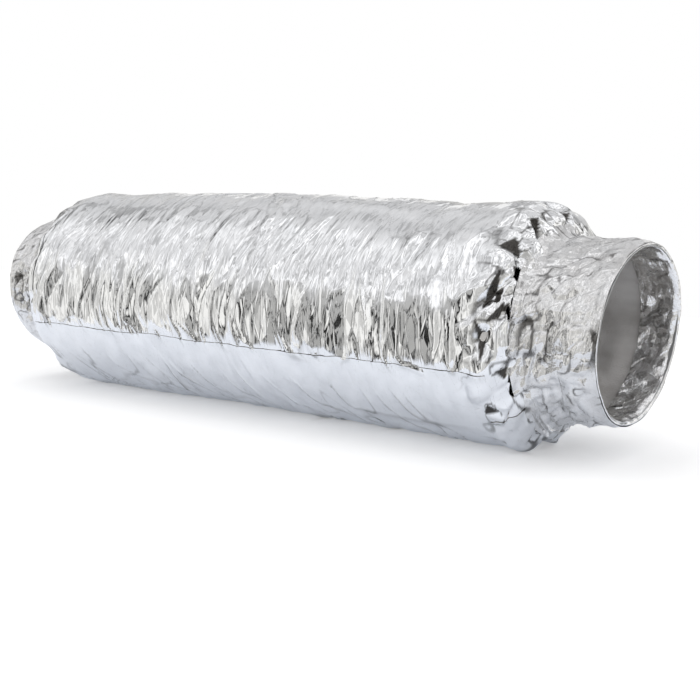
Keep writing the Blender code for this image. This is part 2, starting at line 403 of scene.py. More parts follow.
class Nodes:
    """A node tree, with short calls that add a node and join it up."""

    def __init__(self, tree):
        self.tree = tree

    def add(self, kind, inputs=None, **settings):
        node = self.tree.nodes.new(kind)
        for key, value in settings.items():
            setattr(node, key, value)
        for key, value in (inputs or {}).items():
            self.put(node, key, value)
        return node

    def put(self, node, key, value):
        socket = node.inputs[key]
        if isinstance(value, bpy.types.NodeSocket):
            self.tree.links.new(value, socket)
        else:
            socket.default_value = value

    def texture(self, kind, place, inputs=None, **settings):
        inputs = {"Vector": place, "Scale": 1.0} | (inputs or {})
        return self.add("ShaderNodeTex" + kind, inputs, **settings).outputs

    def noise(self, place, detail=2.0, roughness=0.5):
        return self.texture("Noise", place, {"Detail": detail, "Roughness": roughness})["Fac"]

    def remap(self, value, low, high, to_low, to_high, kind="LINEAR"):
        inputs = dict(enumerate((value, low, high, to_low, to_high)))
        return self.add("ShaderNodeMapRange", inputs, interpolation_type=kind).outputs[0]

    def step(self, value, low, high):
        return self.remap(value, low, high, 0.0, 1.0, "SMOOTHSTEP")

    def math(self, operation, a, b=0.0, c=0.0):
        node = self.add("ShaderNodeMath", {0: a, 1: b, 2: c}, operation=operation)
        return node.outputs["Value"]

    def vector(self, operation, a, b, output="Vector"):
        node = self.add("ShaderNodeVectorMath", {0: a, 1: b}, operation=operation)
        return node.outputs[output]

    def product(self, first, *others):
        for other in others:
            first = self.math("MULTIPLY", first, other)
        return first

    def mix(self, factor, a, b):
        return self.add("ShaderNodeMix", {0: factor, 6: a, 7: b}, data_type="RGBA").outputs[2]

    def split(self, vector):
        return self.add("ShaderNodeSeparateXYZ", {"Vector": vector}).outputs

    def scaled(self, vector, scale):
        return self.add("ShaderNodeMapping", {"Vector": vector, "Scale": scale}).outputs[0]


class Material(Nodes):
    """A material's node tree round its Principled shader."""

    def __init__(self, name):
        self.material = bpy.data.materials.new(name)
        self.material.use_nodes = True
        super().__init__(self.material.node_tree)
        self.shader = self.tree.nodes["Principled BSDF"]

    def shade(self, **inputs):
        for key, value in inputs.items():
            self.put(self.shader, key.replace("_", " "), value)
        return self.material

    def place(self, along, around):
        """The unrolled place on the skin, scaled along and around it."""
        return self.scaled(self.skin(), (along, around, 0.0))

    def skin(self):
        """The unrolled place on the skin, and in its third number the painted shade of folds and
        creases, from 0 to 1.
        """
        return self.add("ShaderNodeAttribute", attribute_name="skin").outputs["Vector"]

    def object_place(self, along, across):
        """The place in the object, scaled along and across the duct."""
        place = self.add("ShaderNodeTexCoord").outputs["Object"]
        return self.scaled(place, (along, across, across))

    def cells(self, place, feature="F1"):
        return self.texture("Voronoi", place, feature=feature)["Distance"]

    def crease_net(self, place, width):
        """A net of thin grooves round random cells: 1 inside a cell and 0 in a groove."""
        return self.step(self.cells(place, "DISTANCE_TO_EDGE"), 0.0, width)

    def grid(self, place, yarn, **settings):
        """Yarns of this width, laid as a grid or a bond of unit bricks."""
        return self.texture("Brick", place, {"Mortar Size": yarn}, **settings)["Fac"]

    def shards(self, along, around, slope):
        """Heights of small flat facets, each tilted its own way, in metres."""
        place = self.place(along, around)
        cell = self.texture("Voronoi", place, voronoi_dimensions="2D")
        place_in_cell = self.vector("SUBTRACT", place, cell["Position"])
        tilt = self.vector("SUBTRACT", cell["Color"], (0.5, 0.5, 0.5))
        height = self.vector("DOT_PRODUCT", tilt, place_in_cell, "Value")
        return self.math("MULTIPLY", height, 2 * slope / along)

    def bumps(self, *layers):
        """The normal that layers of bump give, each one a height and its depth."""
        inputs = {}
        for height, depth in layers:
            inputs |= {"Height": height, "Distance": depth}
            inputs["Normal"] = self.add("ShaderNodeBump", inputs).outputs["Normal"]
        return inputs["Normal"]


def grey(value, warmth=0.0):
    return (value * (1 + warmth), value, value * (1 - warmth), 1.0)


def finish_foil(n, dull_scale, tones, roughest, normal):
    """Joins up a foil's shader, from its bright and dulled tones and the dark tone of painted
    shade in folds.
    """
    patches = n.noise(n.place(dull_scale, dull_scale), detail=3.0)
    color = n.mix(n.remap(patches, *DULL_PATCHES, 0.0, 1.0), *tones[:2])
    # Painted shade: the skin's third number mixes the near-black tone into folds and creases.
    color = n.mix(n.split(n.skin())["Z"], color, tones[2])
    rough = n.remap(patches, *ROUGH_PATCHES, SMOOTHEST, roughest)
    return n.shade(Base_Color=color, Metallic=1.0, Roughness=rough, Normal=normal)


def foil_material():
    """Aluminium laminate foil: mirror-bright, with fine creases and a trace of dulling."""
    n = Material("jacket_foil")
    lines = n.crease_net(n.place(150, 28), 0.10)
    specks = n.cells(n.place(420, 130))
    shards = n.shards(190, 65, slope=0.07)
    normal = n.bumps((lines, 0.05 * MM), (specks, 0.02 * MM), (shards, METRE))
    # The third tone is near-black, for painted shade in folds and creases.
    tones = (grey(0.90, -0.006), grey(0.83, -0.01), grey(0.035, 0.12))
    return finish_foil(n, 60, tones, 0.12, normal)


def tape_material(name, tone, crinkle):
    """Self-adhesive foil tape: crinkled, with its reinforcing yarns showing through."""
    n = Material(name)
    fine = n.crease_net(n.place(190, 90), 0.10)
    specks = n.crease_net(n.place(420, 300), 0.12)
    yarns = n.grid(n.place(200, 200), 0.05, offset=0.0)
    normal = n.bumps(
        (fine, crinkle * 0.04 * MM),
        (specks, crinkle * 0.02 * MM),
        (n.shards(150, 120, slope=crinkle * 0.09), METRE),
        (n.shards(320, 280, slope=crinkle * 0.06), METRE),
        (yarns, 0.02 * MM),
    )
    # The third tone is near-black, for painted shade in folds and creases.
    tones = (grey(tone), grey(tone * 0.9, 0.01), grey(0.04, 0.1))
    return finish_foil(n, 90, tones, 0.11, normal)


def nonwoven_material():
    """White spunbond: long fibres pressed together by a fine dot pattern."""
    n = Material("nonwoven")
    fibres = n.noise(n.place(300, 900), detail=6.0, roughness=0.7)
    dots = n.cells(n.place(700, 700))
    # Painted shade: cloudy light and dark patches stand in for the shading of soft folds, and both
    # greys are darker and warmer than white fabric, for the shade inside the bore.
    cloud = n.noise(n.place(20, 34), detail=3.0)
    color = n.mix(n.remap(cloud, 0.36, 0.64, 0.0, 1.0), grey(0.68, 0.02), grey(0.42, 0.04))
    normal = n.bumps((fibres, 0.25 * MM), (dots, 0.12 * MM))
    return n.shade(Base_Color=color, Roughness=0.95, Normal=normal)


def wool_material():
    """Polyester wool: loose fibres in all directions."""
    n = Material("acoustic_wool")
    fibres = n.noise(n.object_place(600, 600), detail=8.0, roughness=0.8)
    color = n.mix(fibres, grey(0.86, 0.03), grey(0.62, 0.04))
    normal = n.bumps((fibres, 0.8 * MM))
    return n.shade(Base_Color=color, Roughness=1.0, Normal=normal)


def scrim_material():
    """Open glass-fibre scrim: a plain grid of yarns on a thin film."""
    n = Material("scrim")
    yarns = n.grid(n.place(400, 400), 0.06)
    color = n.mix(yarns, grey(0.55, 0.01), grey(0.72, 0.01))
    normal = n.bumps((yarns, 0.2 * MM))
    return n.shade(Base_Color=color, Roughness=0.8, Normal=normal)


def steel_material(name, tone, roughness, spangle):
    """Sheet steel: zinc spangle, or a drawn or rolled grain where spangle is zero."""
    n = Material(name)
    if spangle:
        tint = n.cells(n.object_place(spangle, spangle))
    else:
        tint = n.noise(n.object_place(2500, 120), detail=3.0)
    color = n.mix(tint, grey(tone, -0.01), grey(tone * 0.8, -0.01))
    rough = n.remap(tint, 0.0, 1.0, roughness, roughness + ROUGHNESS_SPREAD)
    normal = n.bumps((tint, 0.03 * MM))
    return n.shade(Base_Color=color, Metallic=1.0, Roughness=rough, Normal=normal)


MATERIALS = {
    "jacket_foil": foil_material(),
    "foil_tape": tape_material("foil_tape", tone=0.79, crinkle=1.0),
    "nonwoven": nonwoven_material(),
    "scrim": scrim_material(),
    "acoustic_wool": wool_material(),
    "galvanised_steel": steel_material("galvanised_steel", 0.62, 0.32, spangle=160),
    "band_steel": steel_material("band_steel", 0.45, 0.35, spangle=0),
    "spring_wire": steel_material("spring_wire", 0.35, 0.30, spangle=0),
}
LINING_TAPE = tape_material("lining_tape", tone=0.90, crinkle=2.0)


def stand_in(piece, node, slot, body=None, material=None):
    """Puts a piece in a CAD node's place, on one body or, without one, baked in place where it
    lies.
    """
    piece.data.materials.append(material or MATERIALS[slot])
    if body:
        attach(piece, body)
    else:
        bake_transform(piece)
    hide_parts(node)


# --------------------
# Camera, floor and light.

CAMERA_AZIMUTH = math.radians(38.8)
CAMERA_ELEVATION = math.radians(8.9)
CAMERA_ROLL = math.radians(-0.4)
CAMERA_DISTANCE = 0.9693
CAMERA_TARGET = Vector((0.0506, 0.0, 0.0527))

# Half the table top's length and depth, and how far across it the foil mirrors it.
TABLE_X, TABLE_Y = 1.3, 0.72
MIRRORED_Y = (0.20, 0.17)
GLOW, EXTRA_GLOW = 0.11, 0.14

SOFTBOX_PLACE = Vector((-0.2, 0.1, 1.7))
SOFTBOX_TARGET = Vector((0.0, 0.0, 0.1))

# The studio's slats, as swings round the horizon: how many a turn, phase and weight.
SLAT_SWINGS = ((5, 0.3, 1.0), (9, 1.9, 0.9), (17, 4.1, 0.7))
EDGE_SWINGS = ((7, 1.0, 0.16), (23, 2.0, 0.10))

# Where each feature fades in, from none to full: on the sum of the slats' swings, on a direction's
# height (its Z), or on how nearly it faces an azimuth (a cosine).
DARK_SLATS, DIM_SLATS, BRIGHT_SLATS = (1.25, 1.34), (0.86, 0.98), (-0.5, -0.8)
DARK_TOP, DARK_BOTTOM = (0.40, 0.30), (-0.62, -0.55)
DIM_TOP, BRIGHT_TOP = (0.52, 0.42), (0.50, 0.40)
BACK_AZIMUTH, BACK_CLEAR, BACK_FADE = 130, (0.92, 0.80), (0.2, 0.75)
DOOR_AZIMUTH, DOOR_WIDTH, DOOR_CLEAR = -42, (0.945, 0.955), (0.975, 0.94)
DOOR_TOP, DOOR_BOTTOM = (0.50, 0.44), (0.02, 0.08)
CEILING_START, CEILING_SCALE = (0.15, 0.45), (6.0, 3.0, 3.0)
PANEL_BAND, SHADE_BAND = (0.48, 0.60), (0.46, 0.38)

# How bright the walls are low down and high up, and what is added to that at the back, in dim
# slats, on panels, in the shade between panels and in bright slats.
WALL_HEIGHTS, WALL_LEVELS = (-0.1, 0.9), (0.7, 0.88)
FEATURE_LEVELS = (-0.12, -0.22, 0.42, -0.26, 0.34)
BACK_PANELS, DOOR_DARKNESS, DARKEST = -0.8, 0.38, -0.955


def add_camera():
    """Three-quarter view from the near end, a little above the duct's axis."""
    flat = math.cos(CAMERA_ELEVATION)
    side, front = math.sin(CAMERA_AZIMUTH), -math.cos(CAMERA_AZIMUTH)
    back = Vector((side * flat, front * flat, math.sin(CAMERA_ELEVATION)))
    right = (-back).cross(Vector((0, 0, 1))).normalized()
    up = right.cross(-back)
    turned_right = right * math.cos(CAMERA_ROLL) + up * math.sin(CAMERA_ROLL)
    turned_up = up * math.cos(CAMERA_ROLL) - right * math.sin(CAMERA_ROLL)
    data = bpy.data.cameras.new("camera")
    data.sensor_width = 36.0
    data.lens = 62.87
    camera = add_object("camera", data)
    rotation = Matrix((turned_right, turned_up, back)).transposed().to_4x4()
    place = Matrix.Translation(CAMERA_TARGET + back * CAMERA_DISTANCE)
    camera.matrix_world = place @ rotation
    bpy.context.scene.camera = camera


def add_floor():
    """A pale table top that the lights burn out to white, and that looks cooler in the foil."""
    signs = ((-1, -1), (1, -1), (1, 1), (-1, 1))
    mesh = bpy.data.meshes.new("floor")
    mesh.from_pydata([(x * TABLE_X, y * TABLE_Y, 0) for x, y in signs], [], [(0, 1, 2, 3)])
    floor = add_object("floor", mesh)
    n = Material("floor")
    cloud = n.noise(n.object_place(3, 3))
    seen = n.add("ShaderNodeLightPath").outputs["Is Camera Ray"]
    cool = n.mix(cloud, (0.86, 0.89, 0.95, 1), (0.84, 0.87, 0.93, 1))
    pale = n.mix(cloud, grey(0.95), grey(0.93))
    n.shade(
        Base_Color=n.mix(seen, cool, pale),
        Roughness=0.9,
        Emission_Color=n.mix(seen, (0.93, 0.96, 1.0, 1), grey(1.0)),
        Emission_Strength=n.math("MULTIPLY_ADD", seen, EXTRA_GLOW, GLOW),
    )
    # The reflected table top is narrow, so that the foil also mirrors the room beyond it.
    across = n.split(n.object_place(1, 1))["Y"]
    shown = n.math("MAXIMUM", seen, n.step(n.math("ABSOLUTE", across), *MIRRORED_Y))
    clear = n.add("ShaderNodeBsdfTransparent").outputs[0]
    both = n.add("ShaderNodeMixShader", {0: shown, 1: clear, 2: n.shader.outputs[0]})
    n.put(n.tree.nodes["Material Output"], "Surface", both.outputs[0])
    mesh.materials.append(n.material)


def add_softbox():
    """One large soft light above, which the foil doesn't mirror as a hard patch."""
    data = bpy.data.lights.new("top_softbox", "AREA")
    data.shape = "RECTANGLE"
    data.size, data.size_y = 1.8, 1.4
    data.energy = 7.0
    light = add_object("top_softbox", data)
    light.visible_glossy = False
    light.location = SOFTBOX_PLACE
    light.rotation_mode = "QUATERNION"
    light.rotation_quaternion = (SOFTBOX_TARGET - SOFTBOX_PLACE).to_track_quat("-Z", "Y")


def add_world():
    """A pale studio: bright panels above, and slats with narrow dark gaps at eye height."""
    world = bpy.data.worlds.new("studio")
    world.use_nodes = True
    bpy.context.scene.world = world
    world.node_tree.nodes.clear()
    n = Nodes(world.node_tree)
    direction = n.add("ShaderNodeTexCoord").outputs["Generated"]
    parts = n.split(direction)
    height = parts["Z"]
    turn = n.math("ARCTAN2", parts["Y"], parts["X"])

    def swings(terms):
        total = 0.0
        for rate, phase, weight in terms:
            swing = n.math("SINE", n.math("MULTIPLY_ADD", turn, rate, phase))
            total = n.math("MULTIPLY_ADD", swing, weight, total)
        return total

    def facing(azimuth):
        return n.math("COSINE", n.math("SUBTRACT", turn, math.radians(azimuth)))

    slats = swings(SLAT_SWINGS)
    ragged = n.math("SUBTRACT", height, swings(EDGE_SWINGS))
    back = facing(BACK_AZIMUTH)
    toward_door = facing(DOOR_AZIMUTH)
    dark = n.product(
        n.step(slats, *DARK_SLATS),
        n.step(ragged, *DARK_TOP),
        n.step(height, *DARK_BOTTOM),
        n.step(back, *BACK_CLEAR),
        n.step(toward_door, *DOOR_CLEAR),
    )
    door = n.product(
        n.step(toward_door, *DOOR_WIDTH), n.step(ragged, *DOOR_TOP), n.step(ragged, *DOOR_BOTTOM)
    )
    dark = n.math("MAXIMUM", dark, n.product(door, DOOR_DARKNESS))
    dim = n.product(n.step(slats, *DIM_SLATS), n.step(ragged, *DIM_TOP))
    bright = n.product(n.step(slats, *BRIGHT_SLATS), n.step(ragged, *BRIGHT_TOP))
    clouds = n.noise(n.scaled(direction, CEILING_SCALE))
    above = n.step(height, *CEILING_START)
    behind = n.step(back, *BACK_FADE)
    fewer = n.math("MULTIPLY_ADD", behind, BACK_PANELS, 1.0)
    panels = n.product(n.step(clouds, *PANEL_BAND), above, fewer)
    shaded = n.product(n.step(clouds, *SHADE_BAND), above)
    level = n.remap(height, *WALL_HEIGHTS, *WALL_LEVELS)
    for feature, amount in zip((behind, dim, panels, shaded, bright), FEATURE_LEVELS):
        level = n.math("MULTIPLY_ADD", feature, amount, level)
    level = n.product(level, n.math("MULTIPLY_ADD", dark, DARKEST, 1.0))
    tint = n.mix(n.step(height, 0.0, 0.5), (1.0, 0.99, 0.965, 1.0), (0.985, 0.985, 1.0, 1.0))
    studio = n.add("ShaderNodeBackground", {"Color": tint, "Strength": level})
    plain = n.add("ShaderNodeBackground", {"Color": grey(1.0), "Strength": 1.0})
    seen = n.add("ShaderNodeLightPath").outputs["Is Camera Ray"]
    both = n.add("ShaderNodeMixShader", {0: seen, 1: studio.outputs[0], 2: plain.outputs[0]})
    n.add("ShaderNodeOutputWorld", {"Surface": both.outputs[0]})


# --------------------
# The foil jacket. Layers of a field are rows of its cells along and around, its seed and its
# height, and lengths in tables are in millimetres.

CORNER_STEPS = 24
SWELLS = ((90, 140, 11, 1.0), (34, 50, 12, 0.8))
HUMP_X, HUMP_LENGTH, HUMP_HEIGHT = -0.03, 0.075, 3.0 * MM
DIP_X, DIP_LENGTH, DIP_DEPTH = 0.14, 0.035, 2.0 * MM
WANDERS = ((70, 90, 21, 10), (30, 40, 22, 5), (12, 16, 23, 1.6))
SCORE_WIDTH = 0.09
FAR_GATHERS = 0.55
JACKET_SINK = 0.4 * MM


def jacket_run():
    """From under the far wrap, over both shoulders, to under the near wrap."""
    far_foot = (FAR_SHOULDER_X, FOOT_RADIUS)
    near_foot = (NEAR_SHOULDER_X, FOOT_RADIUS)
    far_wall = (FAR_SHOULDER_X + FAR_SHOULDER_LENGTH, BODY_RADIUS)
    near_wall = (NEAR_SHOULDER_X - NEAR_SHOULDER_LENGTH, BODY_RADIUS)
    points = [(FAR_SHOULDER_X - NECK_LENGTH, FOOT_RADIUS)]
    points += quarter_round(far_foot, far_wall, CORNER_STEPS, wall_first=False)
    points += quarter_round(near_wall, near_foot, CORNER_STEPS, wall_first=True)
    points.append((NEAR_SHOULDER_X + NECK_LENGTH, FOOT_RADIUS))
    return Run(points, BODY_RADIUS)


JACKET = jacket_run()
FAR_FOOT_S = float(JACKET.s[1])
NEAR_FOOT_S = float(JACKET.s[-2])


def swell(skin):
    """Slow unevenness of the stuffed body, which is fuller on top at its middle."""
    on_top = smoothstep(0.3, 0.9, np.sin(skin.angle))
    hump = HUMP_HEIGHT * np.exp(-(((skin.x - HUMP_X) / HUMP_LENGTH) ** 2))
    dip = DIP_DEPTH * np.exp(-(((skin.x - DIP_X) / DIP_LENGTH) ** 2))
    return layered(waves, skin.place, SWELLS) + on_top * (hump - dip)


def wall_wrinkles(skin):
    """Rings of pleats round the wall, calmer above and below than at mid height, with painted
    shade along scored and nicked lines.
    """
    place = skin.place
    bent = place.moved(layered(waves, place, WANDERS))
    # The sheared fields don't close round the body, so they fade out at the cut below the lap.
    around = (skin.angle - CUT_ANGLE) % FULL_TURN * BODY_RADIUS
    sheared = smoothstep(3, 9, np.degrees(np.abs(wrap_angle(skin.angle - CUT_ANGLE))))
    lift = np.degrees(np.arcsin(np.clip(np.sin(skin.angle), -1, 1)))
    lower = smoothstep(-7, -13, lift + 6 * waves(place, 22, 200, 24))
    upper = smoothstep(40, 75, lift)
    under = smoothstep(-42, -66, lift)
    strength = 1 - 0.62 * lower - 0.30 * upper + 0.20 * under
    patchy = 0.20 + 0.80 * smoothstep(-0.2, 0.4, waves(place, 30, 42, 34))
    broad = facets(bent, 14, 40, 31) * 1.5 * MM
    pleats = facets(bent, 6.5, 30, 32) * 1.15 * MM
    shards = facets(bent.moved(0.30 * around), 9, 18, 37) * 0.55 * MM * sheared
    fine = facets(bent, 3.4, 9, 33) * 0.08 * MM
    lines = creases(bent, 12, 55, 35, width=0.22) * 0.5 * MM
    scores = creases(bent.moved(0.25 * around), 13, 52, 36, SCORE_WIDTH) * sheared
    nicks = creases(bent.moved(0.40 * around), 11, 26, 38, SCORE_WIDTH) * sheared
    ripple = broad + (pleats + shards + fine) * patchy
    quiet = np.clip(1.1 - strength, 0, 1) * (1.2 * scores + 0.7 * nicks) * MM
    # Painted shade: scored and nicked lines are darkened in cloudy patches, fully on the lower
    # wall and half as much elsewhere.
    scored_shade_patches = smoothstep(-0.4, 0.3, waves(place, 26, 40, 39))
    shade = (0.50 * scores + (0.30 + 0.15 * under) * nicks) * scored_shade_patches * np.maximum(lower, 0.5)
    return strength * (ripple + lines) + quiet, np.clip(shade, 0, 1)


# Places where the gathered foil of the near shoulder is pushed in: distance from the collar's
# foot, angle, half the length down the shoulder, half the width round it, depth and turn.
DENTS = (
    (19, 45, 13, 8, 5.0, 25),
    (11, 36, 7, 6, 3.5, -30),
    (25, 23, 5.5, 15, 4.5, 12),
    (29, 1, 6, 14, 4.0, -10),
    (20, 12, 5, 10, 3.5, 35),
    (15, 66, 12, 4.5, 4.5, 20),
    (20, 78, 6, 5, 3.0, -25),
    (12, 14, 8, 4, 3.0, 40),
    (28, -36, 9, 4.5, 3.5, 30),
    (14, -14, 8, 5, 2.5, -35),
    (17, 97, 8, 5, 3.0, 15),
)
# How dark the painted shade on a dent's far wall is.
DENT_SHADE = 0.97


def dents(skin, foot_distance):
    """Four-sided hollows with straight creases, and the painted shade on their far walls."""
    depth = np.zeros(skin.s.shape)
    shade = np.zeros(skin.s.shape)
    for distance, angle, half_s, half_u, deep, turned in DENTS:
        off_s = foot_distance / MM - distance
        off_u = wrap_angle(skin.angle - math.radians(angle)) * BODY_RADIUS / MM
        c, s = math.cos(math.radians(turned)), math.sin(math.radians(turned))
        across = (off_s * c + off_u * s) / half_s
        along = (off_u * c - off_s * s) / half_u
        inside = np.clip(1 - np.maximum(np.abs(across), np.abs(along)), 0, 1)
        depth = np.maximum(depth, deep * MM * inside)
        # Painted shade: one wall of each hollow is darkened in the colour.
        wall = smoothstep(0.0, 0.1, inside) * smoothstep(-0.3, -0.2, across - np.abs(along))
        shade = np.maximum(shade, DENT_SHADE * wall)
    return depth, shade


def gathers(skin, foot_distance):
    """Crumpled folds that run down a shoulder into the collar, and the painted shade of their
    valleys and creases.
    """
    place = skin.place
    rise = np.sin(skin.angle)
    slid = place.moved(waves(place, 26, 24, 44) * 6 * MM)
    folds = facets(place, 26, 13, 41) * 3.4 * MM
    crumple = facets(slid, 16, 15, 43) * 3.6 * MM
    small = facets(slid, 7, 8, 42) * (0.9 + 0.7 * smoothstep(0.0, -0.4, rise)) * MM
    fade = smoothstep(58 * MM, 26 * MM, foot_distance)
    calm = smoothstep(0, 7 * MM, foot_distance)
    height = (folds + crumple + small) * fade * calm
    # Folds stand less proud near the foot, where the collar's wrap holds them down.
    proud = 0.3 + 0.45 * smoothstep(12 * MM, 32 * MM, foot_distance)
    # Painted shade: the deepest valleys and thin crease lines are darkened in the colour.
    lowest = smoothstep(-2.4 * MM, -3.6 * MM, height) * 0.75
    edges = smoothstep(0.1, 0.7, creases(slid, 11, 10, 45, width=0.14)) * 0.8 * fade * calm
    drawn_in = 1.8 * MM * fade * calm * smoothstep(0.6, 0.95, rise)
    height = np.where(height > 0, height * proud, height) - drawn_in
    return height, np.maximum(lowest, edges)


def jacket_surface(skin):
    """The foil's height along the normal, and the painted shade of its folds and creases."""
    from_far = skin.s - FAR_FOOT_S
    from_near = NEAR_FOOT_S - skin.s
    wrinkles, lines = wall_wrinkles(skin)
    on_wall = smoothstep(0, 45 * MM, from_far) * smoothstep(18 * MM, 56 * MM, from_near)
    on_body = smoothstep(0, 6 * MM, np.minimum(from_far, from_near))
    near_folds, near_valleys = gathers(skin, from_near)
    far_folds, _ = gathers(skin, from_far)
    hollow, walls = dents(skin, from_near)
    height = wrinkles * on_wall + swell(skin) * on_body + near_folds + FAR_GATHERS * far_folds
    # Painted shade from scored lines, shoulder valleys and dent walls, for the material's dark
    # tone.
    shade = np.maximum(np.maximum(lines * on_wall, near_valleys), walls)
    return height - hollow - JACKET_SINK, shade


# The jacket's sheet is made in equal sectors from the cut, in this order.
SECTORS = ("jacket_front_upper", "jacket_back_upper", "jacket_back_lower", "jacket_front_lower")


def add_jacket():
    skin = Skin.whole(JACKET, JACKET_GRID, CUT_ANGLE)
    height, shade = jacket_surface(skin)
    points = skin.points(height, JACKET_FLOOR)
    normals = grid_normals(points, True)
    # The place's third number carries the painted shade to the material.
    place = np.stack([skin.s, skin.u, shade], axis=-1)
    columns = points.shape[1]
    cuts = [round(columns * k / len(SECTORS)) for k in range(len(SECTORS) + 1)]
    for name, first, last in zip(SECTORS, cuts, cuts[1:]):
        pick = np.arange(first, last + 1) % columns
        part = place[:, pick]
        if last == columns:
            part[:, -1, 1] += skin.run.girth
        piece = add_shell(name, points[:, pick], normals[:, pick], part, FOIL_THICKNESS, False)
        stand_in(piece, "jacket", "jacket_foil")


# --------------------
# Tape on the jacket.

# Each shoulder's tapes: the foot they start from, which way they run from it, and their angles.
SHOULDER_TAPES = (
    ("near", BEND["child"], NEAR_FOOT_S, -1, ((12, 48), (138, 174), (-78, -42))),
    ("far", BEND["parent"], FAR_FOOT_S, 1, ((3, 39), (120, 156), (-132, -96))),
)
TAPE_REACH = (6 * MM, 37 * MM)
TAPE_STEPS = 40
TAPE_SEED, TAPE_SEED_STEP = 205, 10
TAPE_LIFT = 0.55 * MM
RAGGED_KNOTS, RAGGED_ENDS, RAGGED_SIDES = 7, 0.8 * MM, 0.010

STRIP_COLUMNS = 22
STRIP_STEP = 1.1 * MM
STRIP_OVERLAP = 12 * MM
STRIP_LIFT = 0.35 * MM


def add_patch(name, node, s, angle, lift, body=None):
    """A strip of tape that lies on the jacket, and is made of the same foil."""
    skin = Skin(JACKET, s, angle)
    height, shade = jacket_surface(skin)
    points = skin.points(height + lift, TAPE_FLOOR)
    piece = add_skin(name, skin, points, shade, PATCH_THICKNESS, closed=False)
    stand_in(piece, node, "foil_tape", body, MATERIALS["jacket_foil"])


def add_shoulder_tape(name, body, ends, angles, seed):
    """A torn-off square of tape with a ragged outline."""
    t = np.linspace(0, 1, TAPE_STEPS)
    along, around = np.meshgrid(t, t, indexing="ij")
    rng = np.random.default_rng(seed)

    def ragged():
        knots = rng.random(RAGGED_KNOTS) * 2 - 1
        return np.interp(t, np.linspace(0, 1, RAGGED_KNOTS), knots)

    s_low = ends[0] + RAGGED_ENDS * ragged()[None, :] * (1 - along)
    s_high = ends[1] + RAGGED_ENDS * ragged()[None, :] * along
    low = math.radians(angles[0]) + RAGGED_SIDES * ragged()[:, None] * (1 - around)
    high = math.radians(angles[1]) + RAGGED_SIDES * ragged()[:, None] * around
    s = s_low + (s_high - s_low) * along
    add_patch(name + "_skin", name, s, low + (high - low) * around, TAPE_LIFT, body)


def add_shoulder_tapes():
    seed = TAPE_SEED
    for end, body, foot, side, spans in SHOULDER_TAPES:
        ends = sorted(foot + side * reach for reach in TAPE_REACH)
        for number, angles in enumerate(spans, start=1):
            add_shoulder_tape(f"{end}_shoulder_tape_{number}", body, ends, angles, seed)
            seed += TAPE_SEED_STEP


def add_seam_strip():
    """The strip of foil that closes the jacket's lap, with a wavering edge."""
    low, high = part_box("jacket_seam_tape")
    s_low = JACKET.at_x(low[0]) - STRIP_OVERLAP
    s_high = JACKET.at_x(high[0]) + STRIP_OVERLAP
    rows = np.linspace(s_low, s_high, round((s_high - s_low) / STRIP_STEP))
    s, t = np.meshgrid(rows, np.linspace(0, 1, STRIP_COLUMNS), indexing="ij")
    edge = Place(s, 0 * s, JACKET.girth, JACKET.length)
    waver = waves(edge, 28, WIDE, 71) * 0.9 * MM + facets(edge, 9, WIDE, 72) * 0.6 * MM
    angle = SEAM_ANGLE - SEAM_WIDTH * (1 - t) + waver / BODY_RADIUS * t
    lip = smoothstep(0.82, 1.0, t) * (0.15 + 0.35 * np.abs(facets(edge, 6, WIDE, 73))) * MM
    add_patch("jacket_seam_strip", "jacket_seam_tape", s, angle, STRIP_LIFT + lip)


# --------------------
# Collars. Profiles are rows of the distance in from the rim and a radius, in millimetres.

# The wrap's run up the shoulder is counted from the collar's foot and radius, and the rest of it,
# with the rib that the band raises, from the rim.
WRAP_FLARE = ((6, 10), (3, 6), (1, 3.6), (-1.2, 2.2), (-3, 1.4), (-7, 0.8), (-12, 0.5))
WRAP_RIB = ((27.6, 0.4), (26.6, 0.9), (18.4, 0.9), (17.4, 0.4), (4, 0.2), (0.4, -0.2))
RIM_OUTSIDE = ((9, 61.3), (1.2, 61.4), (0.2, 61.9), (-0.2, 61.7), (-0.2, 61.2))
RIM_INSIDE = ((1, 59.2), (4, 58.5), (28, 58.1))
WRAP_CRINKLES = ((9, 11, 55, 1.5), (16, 3.8, 57, 0.45), (4.2, 4.8, 53, 0.9))
WRAP_LIFT, WRAP_LOWEST = 0.4 * MM, -1.1 * MM
RIM_CRINKLES = ((11, 9, 61, 1.4), (5, 6, 64, 0.6))
RIM_LIFT, RIM_HIGHEST = 0.7 * MM, 2.4 * MM
LAP_ANGLE, LAP_HALF_WIDTH = math.pi - 0.05, 0.10

# Each collar: its name, side, rim, foot and body, and the laps of its tape, as a low and a high
# angle and how far the lap stands up in millimetres.
COLLARS = (
    ("near", 1, NEAR_RIM_X, NEAR_SHOULDER_X, BEND["child"], ((-27, -8, 0.5), (60, 130, 0.4))),
    ("far", -1, FAR_RIM_X, FAR_SHOULDER_X, BEND["parent"], ((-40, 5, 0.4),)),
)


def rim_sway(skin):
    """How far the mouth's edge strays along the axis and outward, round the collar."""
    girth = COLLAR_RADIUS * FULL_TURN
    place = Place(0 * skin.u, skin.u, girth, 1 * MM)
    along = waves(place, WIDE, 45, 62) * 0.8 * MM
    along += facets(place, WIDE, 16, 63) * 0.4 * MM
    outward = waves(place, WIDE, 38, 65) * 0.9 * MM
    outward += facets(place, WIDE, 22, 66) * 0.3 * MM
    oval = 0.9 * MM * np.cos(2 * (skin.u / girth * FULL_TURN - math.radians(20)))
    return along - 0.4 * MM, outward + oval


